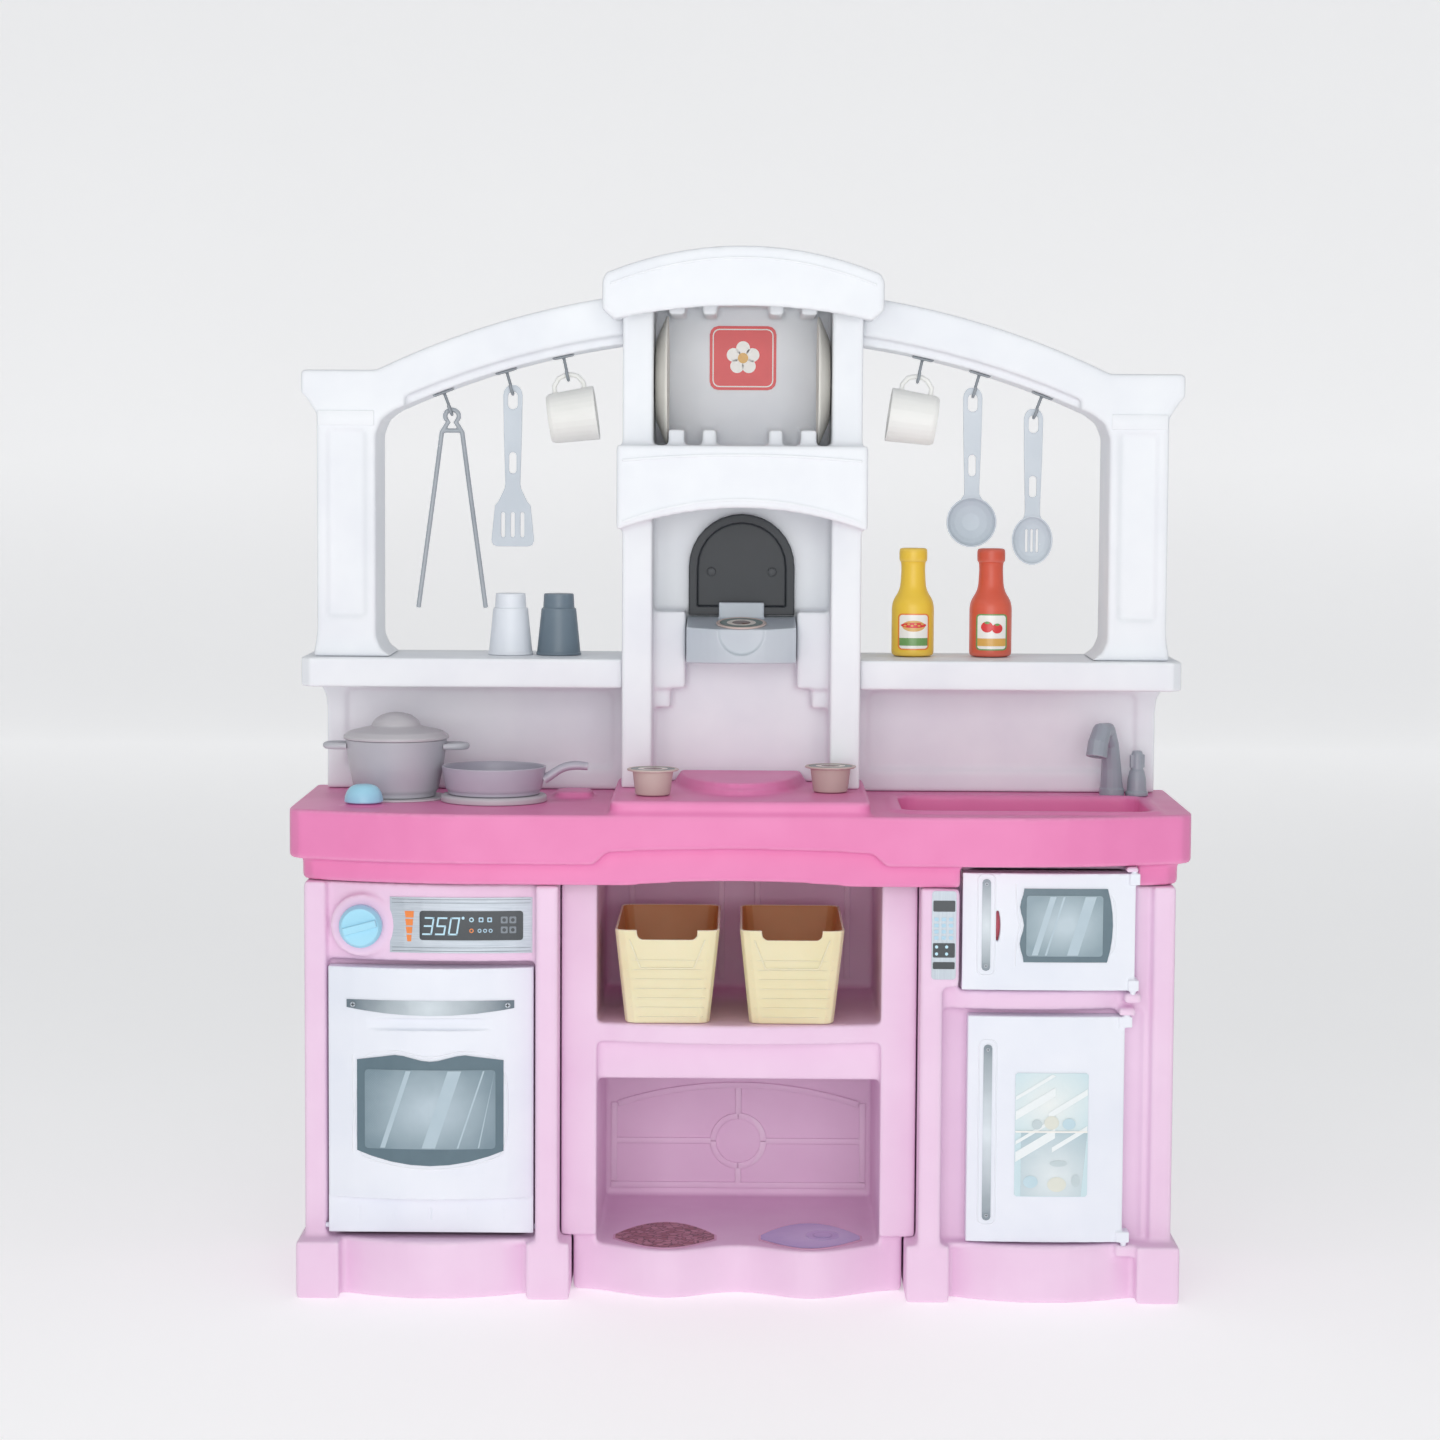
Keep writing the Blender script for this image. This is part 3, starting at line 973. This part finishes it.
def make_faucet():
    x, y = FAUCET
    low = TOP_Z + GAP
    path = [(x, y, low + 0.002), (x - 0.001, y - 0.002, low + 0.030), (x - 0.003, y - 0.006, low + 0.055),
            (x - 0.008, y - 0.016, low + 0.070), (x - 0.014, y - 0.027, low + 0.070),
            (x - 0.0185, y - 0.0355, low + 0.058), (x - 0.0205, y - 0.0385, low + 0.044)]
    spout = tube(path, [0.0125, 0.0105, 0.0092, 0.0095, 0.0100, 0.0108, 0.0112], 12)
    add(spout, rod((x, y, low), (x, y, low + 0.008), 0.0132, 20))
    cut(spout, rod((x - 0.0205, y - 0.0385, low + 0.040), (x - 0.0190, y - 0.0360, low + 0.054), 0.0080,
                   12))
    add(spout, rod((x, y, low + 0.003), (x, y, TOP_Z - 0.010), SHAFT_RADIUS))
    node("faucet_spout", spout, (0.42, 0.47, 0.50), 0.3, 0.5, pivot=(x, y, low), smooth=True)

    x, y = TAP
    dome = [(0, 0), (0.0120, 0), (0.0120, 0.004), (0.0105, 0.0055), (0.0098, 0.018), (0.0078, 0.0265),
            (0.0065, 0.028),
            (0.0060, 0.044), (0.0048, 0.0475), (0, 0.0475)]
    handle = turned(dome, (x, y, low), 20)
    lever = block((-0.0085, 0.0085), (-0.0018, 0.0018), (0, 0.014))
    lever_turn = Matrix.Rotation(math.radians(25), 4, "Z")
    lever.data.transform(Matrix.Translation((x, y, low + 0.0295)) @ lever_turn)
    add(handle, lever)
    add(handle, rod((x, y, low + 0.003), (x, y, TOP_Z - 0.010), SHAFT_RADIUS))
    node("faucet_handle", handle, (0.42, 0.47, 0.50), 0.3, 0.5, pivot=(x, y, low), smooth=True)


# ================================================================ things on the worktop
POT_PLACE = (-(HALF - 0.0984), FRONT + 0.158)
PAN_PLACE = (-(HALF - 0.2013), FRONT + 0.130)
POT_Z = TOP_Z + GAP + HOB_PLATE_HEIGHT + GAP
PAN_Z = TOP_Z + GAP + BURNER_HEIGHT + GAP


def cup(outer, wall, floor):
    """Profile of an open vessel whose outer side is given from the bottom up."""
    inner = [(max(radius - wall, 0.001), max(height, floor)) for radius,
             height in reversed(outer) if height > floor]
    return [(0, 0)] + outer + inner + [(inner[-1][0], floor), (0, floor)]


def make_burners():
    x, y = POT_PLACE
    plate = turned([(0, 0), (BURNER_RADIUS - 0.001, 0), (BURNER_RADIUS - 0.001, HOB_PLATE_HEIGHT),
                    (0, HOB_PLATE_HEIGHT)],
                   (x, y, TOP_Z + GAP))
    # the plate is clipped where the other burner and the knob's boss stand
    cut(plate, rod((*PAN_PLACE, TOP_Z - 0.01), (*PAN_PLACE, TOP_Z + 0.03), BURNER_RADIUS + 2 * GAP, 40))
    cut(plate, rod((*STOVE_KNOB, TOP_Z - 0.01), (*STOVE_KNOB, TOP_Z + 0.03), KNOB_RADIUS + 0.0015,
                   SEGMENTS))
    node("burner_left", plate, (0.58, 0.55, 0.58), 0.5)
    x, y = PAN_PLACE
    high = BURNER_HEIGHT
    ring = turned([(0, 0), (BURNER_RADIUS, 0), (BURNER_RADIUS, high - 0.002),
                   (BURNER_RADIUS - 0.002, high), (0, high)],
                  (x, y, TOP_Z + GAP))
    node("burner_right", ring, (0.58, 0.55, 0.58), 0.5)


def make_pot():
    x, y = POT_PLACE
    foot = POT_RADIUS * 0.78
    outer = [(foot, 0), (foot, 0.004), (POT_RADIUS * 0.83, 0.0065), (POT_RADIUS * 0.93, 0.030),
             (POT_RADIUS, POT_HEIGHT)]
    pot = turned(cup(outer, 0.0025, 0.0060), (x, y, POT_Z))
    wall_middle = POT_RADIUS * 0.975 - 0.0013
    root = [math.radians(17), math.radians(9), 0, math.radians(-9), math.radians(-17)]
    for side in (LEFT, RIGHT):
        plan = [(wall_middle * math.cos(a), wall_middle * math.sin(a)) for a in root]
        ear = ((0.0100, -0.012), (0.0195, -0.007), (0.0220, 0), (0.0195, 0.007), (0.0100, 0.012))
        plan += [(POT_RADIUS + reach, half) for reach, half in ear]
        handle = prism([(x + side * a, y + b) for a, b in plan], POT_Z + POT_HEIGHT - 0.0105,
                       POT_Z + POT_HEIGHT - 0.0035)
        add(pot, handle)
    node("pot", pot, (0.50, 0.48, 0.53), 0.4, 0.1, pivot=(x, y, POT_Z), smooth=True)
    low = POT_Z + POT_HEIGHT + GAP
    plug = POT_RADIUS - 0.0042
    lid = turned([(0, 0.0100), (0.024, 0.0085), (plug - 0.0025, -0.0030), (plug, -0.0030), (plug, 0),
                  (POT_RADIUS + 0.0020, 0),
                  (POT_RADIUS + 0.0022, 0.0035), (POT_RADIUS - 0.004, 0.0075), (0.030, 0.0120),
                  (0.0255, 0.0135), (0.0225, 0.0190),
                  (0.0150, 0.0245), (0.0070, 0.0270), (0, 0.0274)], (x, y, low))
    node("pot_lid", lid, (0.50, 0.48, 0.50), 0.4, 0.1, pivot=(x, y, low), smooth=True)


def make_pan():
    x, y = PAN_PLACE
    foot = PAN_RADIUS * 0.88
    outer = [(foot, 0), (foot, 0.0035), (PAN_RADIUS * 0.92, 0.0055), (PAN_RADIUS * 0.97, 0.018),
             (PAN_RADIUS, PAN_HEIGHT)]
    pan = turned(cup(outer, 0.0025, 0.0050), (x, y, PAN_Z))
    reach = PAN_RADIUS - 0.0039
    path = [(x + reach, y, PAN_Z + 0.0155), (x + reach + 0.008, y, PAN_Z + 0.0195),
            (x + reach + 0.020, y, PAN_Z + 0.0275),
            (x + reach + 0.033, y, PAN_Z + 0.0300), (x + reach + 0.047, y, PAN_Z + 0.0280)]
    add(pan, tube(path, [0.0050, 0.0048, 0.0046, 0.0050, 0.0042], 8, 1.7, (0, 1, 0)))
    node("frying_pan", pan, (0.46, 0.42, 0.49), 0.35, 0.2, pivot=(x, y, PAN_Z), smooth=True)


POD_LEFT = (-0.0880, FRONT + 0.061, BOARD_Z + GAP + POD_HEIGHT - 0.002)
POD_RIGHT = (0.0915, FRONT + 0.1030, BOARD_Z + GAP + POD_HEIGHT - 0.002)


# ================================================================ storage bins
BIN_Z = SHELF_BOARD_TOP + GAP
BIN_FRONT = FRONT + 0.028


def make_bin(name, centre):
    taper = 0.010
    rim, foot = BIN_WIDTH / 2, BIN_WIDTH / 2 - taper
    front, back = BIN_FRONT, BIN_FRONT + BIN_LENGTH

    def ring(inset, z, share):
        half = foot + (rim - foot) * share - inset
        y0, y1 = front + 0.017 * (1 - share) + inset, back - 0.017 * (1 - share) - inset
        return [(a, b, z) for a, b in rounded(centre - half, centre + half, y0, y1, 0.010, 2)]

    outer = loft([ring(0, BIN_Z, 0), ring(0, BIN_Z + BIN_HEIGHT, 1)])
    wall = 0.0025
    inner = loft([ring(wall, BIN_Z + wall, wall / BIN_HEIGHT), ring(wall, BIN_Z + BIN_HEIGHT * 1.2, 1.2)])
    cut(outer, inner)
    top = BIN_Z + BIN_HEIGHT
    notch = rounded(centre - 0.030, centre + 0.030, top - 0.010, top + 0.03, 0.006)
    cut(outer, prism(notch, front - 0.02, front + 0.03, "Y"))
    node(name, outer, YELLOW_BIN, 0.5, pivot=(centre, front, BIN_Z))


# ================================================================ plates in the rack
def make_plate(name, side):
    depth, radius = PLATE_DEPTH, PLATE_RADIUS
    profile = [(0, 0), (radius * 0.62, 0), (radius, depth - 0.0022), (radius, depth),
               (radius * 0.94, depth),
               (radius * 0.60, 0.0028), (0, 0.0028)]
    x = side * (RACK_HALF - 0.0012)
    y = RACK_BACK - GAP - 0.0005 - radius
    z = LEDGE_Z + GAP + radius
    turn = Matrix.Rotation(math.radians(-90 * side), 4, "Y")
    plate = turned(profile, (x, y, z), 32, turn)
    node(name, plate, CREAM, 0.4, pivot=(x, y, z), smooth=True)


# ================================================================ hooks and what hangs on them
HOOK_Y = HUTCH_FRONT + 0.030
HOOK_DROP = 0.0255
HOOK_SHARES = {"mug": 0.250, "inner": 0.482, "outer": 0.737}


def hook_frame(side, share):
    """Foot of a hook on the arch and the direction in which it points, square to the arch."""
    x = TOWER_HALF + share * (PILLAR_IN - TOWER_HALF)
    z = arch_z(x, LIP_DROP) - GAP - 0.0001
    centre_z = ARCH_CENTRE - LIP_DROP
    inward = Vector((-x, 0, centre_z - z)).normalized()
    return Vector((side * x, HOOK_Y, z)), Vector((side * inward.x, 0, inward.z))


def hook_centre(side, share):
    """Middle of a hook's bend, which what hangs there swings about."""
    foot, down = hook_frame(side, share)
    return foot + down * (HOOK_DROP - HOOK_BEND)


def make_hook(name, side, share):
    foot, down = hook_frame(side, share)
    across = Vector((down.z, 0, -down.x))
    corners = [foot + across * 0.012, foot - across * 0.012, foot - across * 0.010 + down * 0.0022,
               foot + across * 0.010 + down * 0.0022]
    hook = prism([(c.x, c.z) for c in corners], HOOK_Y - 0.0065, HOOK_Y + 0.0105, "Y")
    back = Vector((0, 1, 0))
    path = [foot + back * HOOK_BEND + down * 0.0010, foot + back * HOOK_BEND + down * (HOOK_DROP - HOOK_BEND)]
    centre = foot + down * (HOOK_DROP - HOOK_BEND)
    for angle in (30, 60, 90, 120, 150, 180):
        a = math.radians(angle)
        path.append(centre + back * HOOK_BEND * math.cos(a) + down * HOOK_BEND * math.sin(a))
    path.append(centre - back * HOOK_BEND - down * 0.0050)
    add(hook, tube(path, HOOK_WIRE, 6))
    node(name, hook, (0.38, 0.40, 0.43), 0.35, 0.7)


TOOL_THICK = 0.0040
EYE_TOP = 0.0026               # top of a handle's hole, below the middle of the hook's bend


def make_flat_tool(name, side, share, widths, holes, head=None, slots=()):
    """Flat handle with its head, hanging from its upper hole. widths are (drop, half width) pairs."""
    pivot = hook_centre(side, share)
    x = pivot.x + hook_frame(side, share)[1].x * HOOK_BEND
    top = pivot.z
    right = [(x + half, top - drop) for drop, half in widths]
    left = [(x - half, top - drop) for drop, half in reversed(widths)]
    y = (HOOK_Y - TOOL_THICK / 2, HOOK_Y + TOOL_THICK / 2)
    tool = prism(right + left, *y, "Y")
    for drop, half_x, half_z in holes:
        hole = rounded(x - half_x, x + half_x, top - drop - half_z, top - drop + half_z, half_x * 0.9, 3)
        cut(tool, prism(hole, HOOK_Y - 0.02, HOOK_Y + 0.02, "Y"))
    if head:
        drop, radius_x, radius_z, depth = head
        steps = [math.radians(a) for a in (0, 22, 45, 65, 80, 90)]
        rim, wall = 0.0004, 0.0018
        place = Matrix.Translation((x, HOOK_Y - TOOL_THICK / 2,
                                    top - drop)) @ Matrix.Rotation(math.radians(90), 4, "X")
        half_step = Matrix.Rotation(math.radians(7.5), 4, "Z")
        outer = turned([(math.sin(a), -depth * math.cos(a)) for a in steps] + [(1, rim), (0, rim)],
                       (0, 0, 0), 24)
        outer.data.transform(place @ Matrix.Diagonal((radius_x, radius_z, 1, 1)) @ half_step)
        add(tool, outer)
        hollow = [(math.sin(a), -(depth - wall) * math.cos(a)) for a in steps] + [(1, 0.02), (0, 0.02)]
        inner = turned(hollow, (0, 0, 0), 24)
        inner.data.transform(place @ Matrix.Diagonal((radius_x - wall, radius_z - wall, 1, 1)) @ half_step)
        cut(tool, inner)
    for offset, drop, half_x, half_z in slots:
        slot = rounded(x + offset - half_x, x + offset + half_x, top - drop - half_z, top - drop + half_z,
                       half_x * 0.6, 1)
        combine(tool, prism(slot, HOOK_Y - 0.03, HOOK_Y + 0.03, "Y"), "DIFFERENCE", "MANIFOLD")
    node(name, tool, (0.60, 0.66, 0.71), 0.4, 0.2, pivot=pivot)


def handle_widths(end, top_half=0.0100, low_half=0.0078):
    """Rounded top of a handle and its slow taper down to end."""
    top = [(-0.0042, 0.0035), (-0.0020, 0.0068), (0.0015, 0.0090), (0.0060, top_half)]
    return top + [(0.045, top_half - 0.0006), (end, low_half)]


def make_tools():
    eye = (EYE_TOP + 0.0090, 0.0050, 0.0090)
    lower_eye = (0.0760, 0.0038, 0.0110)
    blade = [(0.1030, 0.0088), (0.1160, 0.0150), (0.1200, 0.0185), (0.1560, 0.0222), (0.1610, 0.0205),
             (0.1625, 0.0160)]
    slots = [(offset, 0.1400, 0.0020, 0.0130) for offset in (-0.0100, 0.0, 0.0100)]
    make_flat_tool("spatula", LEFT, HOOK_SHARES["inner"], handle_widths(0.0980) + blade, [eye, lower_eye],
                   None, slots)
    neck = [(0.1060, 0.0080), (0.1140, 0.0130)]
    make_flat_tool("ladle", RIGHT, HOOK_SHARES["inner"], handle_widths(0.1000) + neck, [eye, lower_eye],
                   (0.1345, 0.0262, 0.0262, 0.014))
    slots = [(offset, 0.1320, 0.0011, 0.0120) for offset in (-0.0055, 0.0, 0.0055)]
    neck = [(0.1060, 0.0082), (0.1120, 0.0110)]
    make_flat_tool("spoon", RIGHT, HOOK_SHARES["outer"], handle_widths(0.1000) + neck,
                   [eye, lower_eye], (0.1315, 0.0215, 0.0257, 0.009), slots)


def make_tongs():
    share = HOOK_SHARES["outer"]
    pivot = hook_centre(LEFT, share)
    x = pivot.x + hook_frame(LEFT, share)[1].x * HOOK_BEND
    top = pivot.z
    wire = 0.0026
    ring = [(x + 0.0072 * math.sin(a), HOOK_Y, top - 0.0066 + 0.0066 * math.cos(a))
            for a in [math.radians(d) for d in range(-150, 151, 25)]]
    left = [(x - 0.0105, HOOK_Y, top - 0.0230), (x - 0.0180, HOOK_Y, top - 0.0800),
            (x - 0.0350, HOOK_Y, top - 0.2050)]
    right = [(2 * x - a, b, c) for a, b, c in reversed(left)]
    path = left[::-1] + ring + right[::-1]
    tongs = tube(path, wire, 8)
    bridge = rod((x - 0.0095, HOOK_Y, top - 0.0215), (x + 0.0095, HOOK_Y, top - 0.0215), 0.0024, 8)
    add(tongs, bridge)
    node("tongs", tongs, (0.55, 0.58, 0.60), 0.3, 0.7, pivot=pivot)


def make_mug(name, side):
    """Mug hanging by its handle, its mouth towards the tower and a little up."""
    pivot = hook_centre(side, HOOK_SHARES["mug"])
    wall = 0.0022
    outer = [(MUG_RADIUS * 0.84, 0), (MUG_RADIUS * 0.92, 0.004), (MUG_RADIUS, MUG_LENGTH)]
    body = turned(cup(outer, wall, 0.0028), (0, 0, -MUG_LENGTH / 2), SEGMENTS)
    grip = 0.0028
    loop = MUG_RADIUS * 0.96 + 0.0155
    start = MUG_RADIUS * 0.95 - 0.0008
    path = [(start, 0, -0.0150), (start + 0.007, 0, -0.0150), (loop - 0.0025, 0, -0.0095),
            (loop, 0, -0.003), (loop, 0, 0.004),
            (loop - 0.0025, 0, 0.0105), (start + 0.007, 0, 0.0155), (start, 0, 0.0155)]
    add(body, tube(path, grip, 8))
    upright = Matrix(((0, 0, -side, 0), (0, side, 0, 0), (1, 0, 0, 0), (0, 0, 0, 1)))
    lean = Matrix.Rotation(math.radians(8 * side), 4, "Y")
    body.data.transform(Matrix.Translation(pivot) @ lean @ Matrix.Translation((0, 0, -loop)) @ upright)
    if upright.determinant() < 0:
        body.data.flip_normals()
    node(name, body, CREAM, 0.4, pivot=pivot, smooth=True)


# ================================================================ things on the shelf
SHELF_PLACE_Y = SHELF_FRONT + 0.0665
BOTTLE_Y = SHELF_FRONT + 0.0785


def window_x(share):
    return TOWER_HALF + share * (PILLAR_IN - TOWER_HALF)


def make_tumbler(name, x, colour):
    """Tumbler standing upside down."""
    low, top, height, wall = TUMBLER_RADIUS, TUMBLER_RADIUS * 0.66, TUMBLER_HEIGHT, 0.0020
    step = height * 0.76
    profile = [(0, height - wall), (top - wall, height - wall), (top + 0.001 - wall, step),
               (low - wall, 0), (low, 0),
               (top + 0.0030, step), (top + 0.0012, step + 0.0005), (top, height), (0, height)]
    z = SHELF_TOP + GAP
    tumbler = turned(profile, (x, SHELF_PLACE_Y, z), 24)
    node(name, tumbler, colour, 0.4, pivot=(x, SHELF_PLACE_Y, z), smooth=True)


def make_bottle(name, x, colour):
    radius, height = BOTTLE_RADIUS, BOTTLE_HEIGHT
    neck, cap = radius * 0.60, radius * 0.68
    profile = [(0, 0), (radius, 0), (radius, height * 0.46), (radius * 0.82, height * 0.56),
               (neck, height * 0.64),
               (neck, height * 0.875), (cap, height * 0.885), (cap, height), (0, height)]
    z = SHELF_TOP + GAP
    bottle = turned(profile, (x, BOTTLE_Y, z), 24)
    node(name, bottle, colour, 0.4, pivot=(x, BOTTLE_Y, z), smooth=True)


# ================================================================ build everything
make_countertop()
make_left_cabinet()
make_right_cabinet()
make_centre_shelves()
for hand in (LEFT, RIGHT):
    make_backsplash(hand)
    make_arch_frame(hand)
make_tower()
make_crown()
make_coffee_maker()
make_pod("pod_in_machine", POD_SEAT, POD_TILT)
make_pod("pod_left", POD_LEFT)
make_pod("pod_right", POD_RIGHT)
make_oven_door()
make_microwave_door()
make_fridge_door()
make_fixed_labels()
make_knobs()
make_faucet()
make_burners()
make_pot()
make_pan()
make_bin("bin_left", -OPENING_HALF * 0.505)
make_bin("bin_right", OPENING_HALF * 0.370)
make_plate("plate_left", LEFT)
make_plate("plate_right", RIGHT)
for hand, hung in ((LEFT, ("hook_mug_left", "hook_spatula", "hook_tongs")),
                   (RIGHT, ("hook_mug_right", "hook_ladle", "hook_spoon"))):
    for hook_name, share in zip(hung, HOOK_SHARES.values()):
        make_hook(hook_name, hand, share)
make_tools()
make_tongs()
make_mug("mug_left", LEFT)
make_mug("mug_right", RIGHT)
white_x = -window_x(0.468)
make_tumbler("tumbler_white", white_x, (0.85, 0.88, 0.92))
make_tumbler("tumbler_grey", white_x + 2 * TUMBLER_RADIUS + TUMBLER_GAP, (0.17, 0.22, 0.26))
make_bottle("mustard_bottle", window_x(0.226), (0.92, 0.66, 0.08))
make_bottle("ketchup_bottle", window_x(0.546), (0.75, 0.13, 0.07))
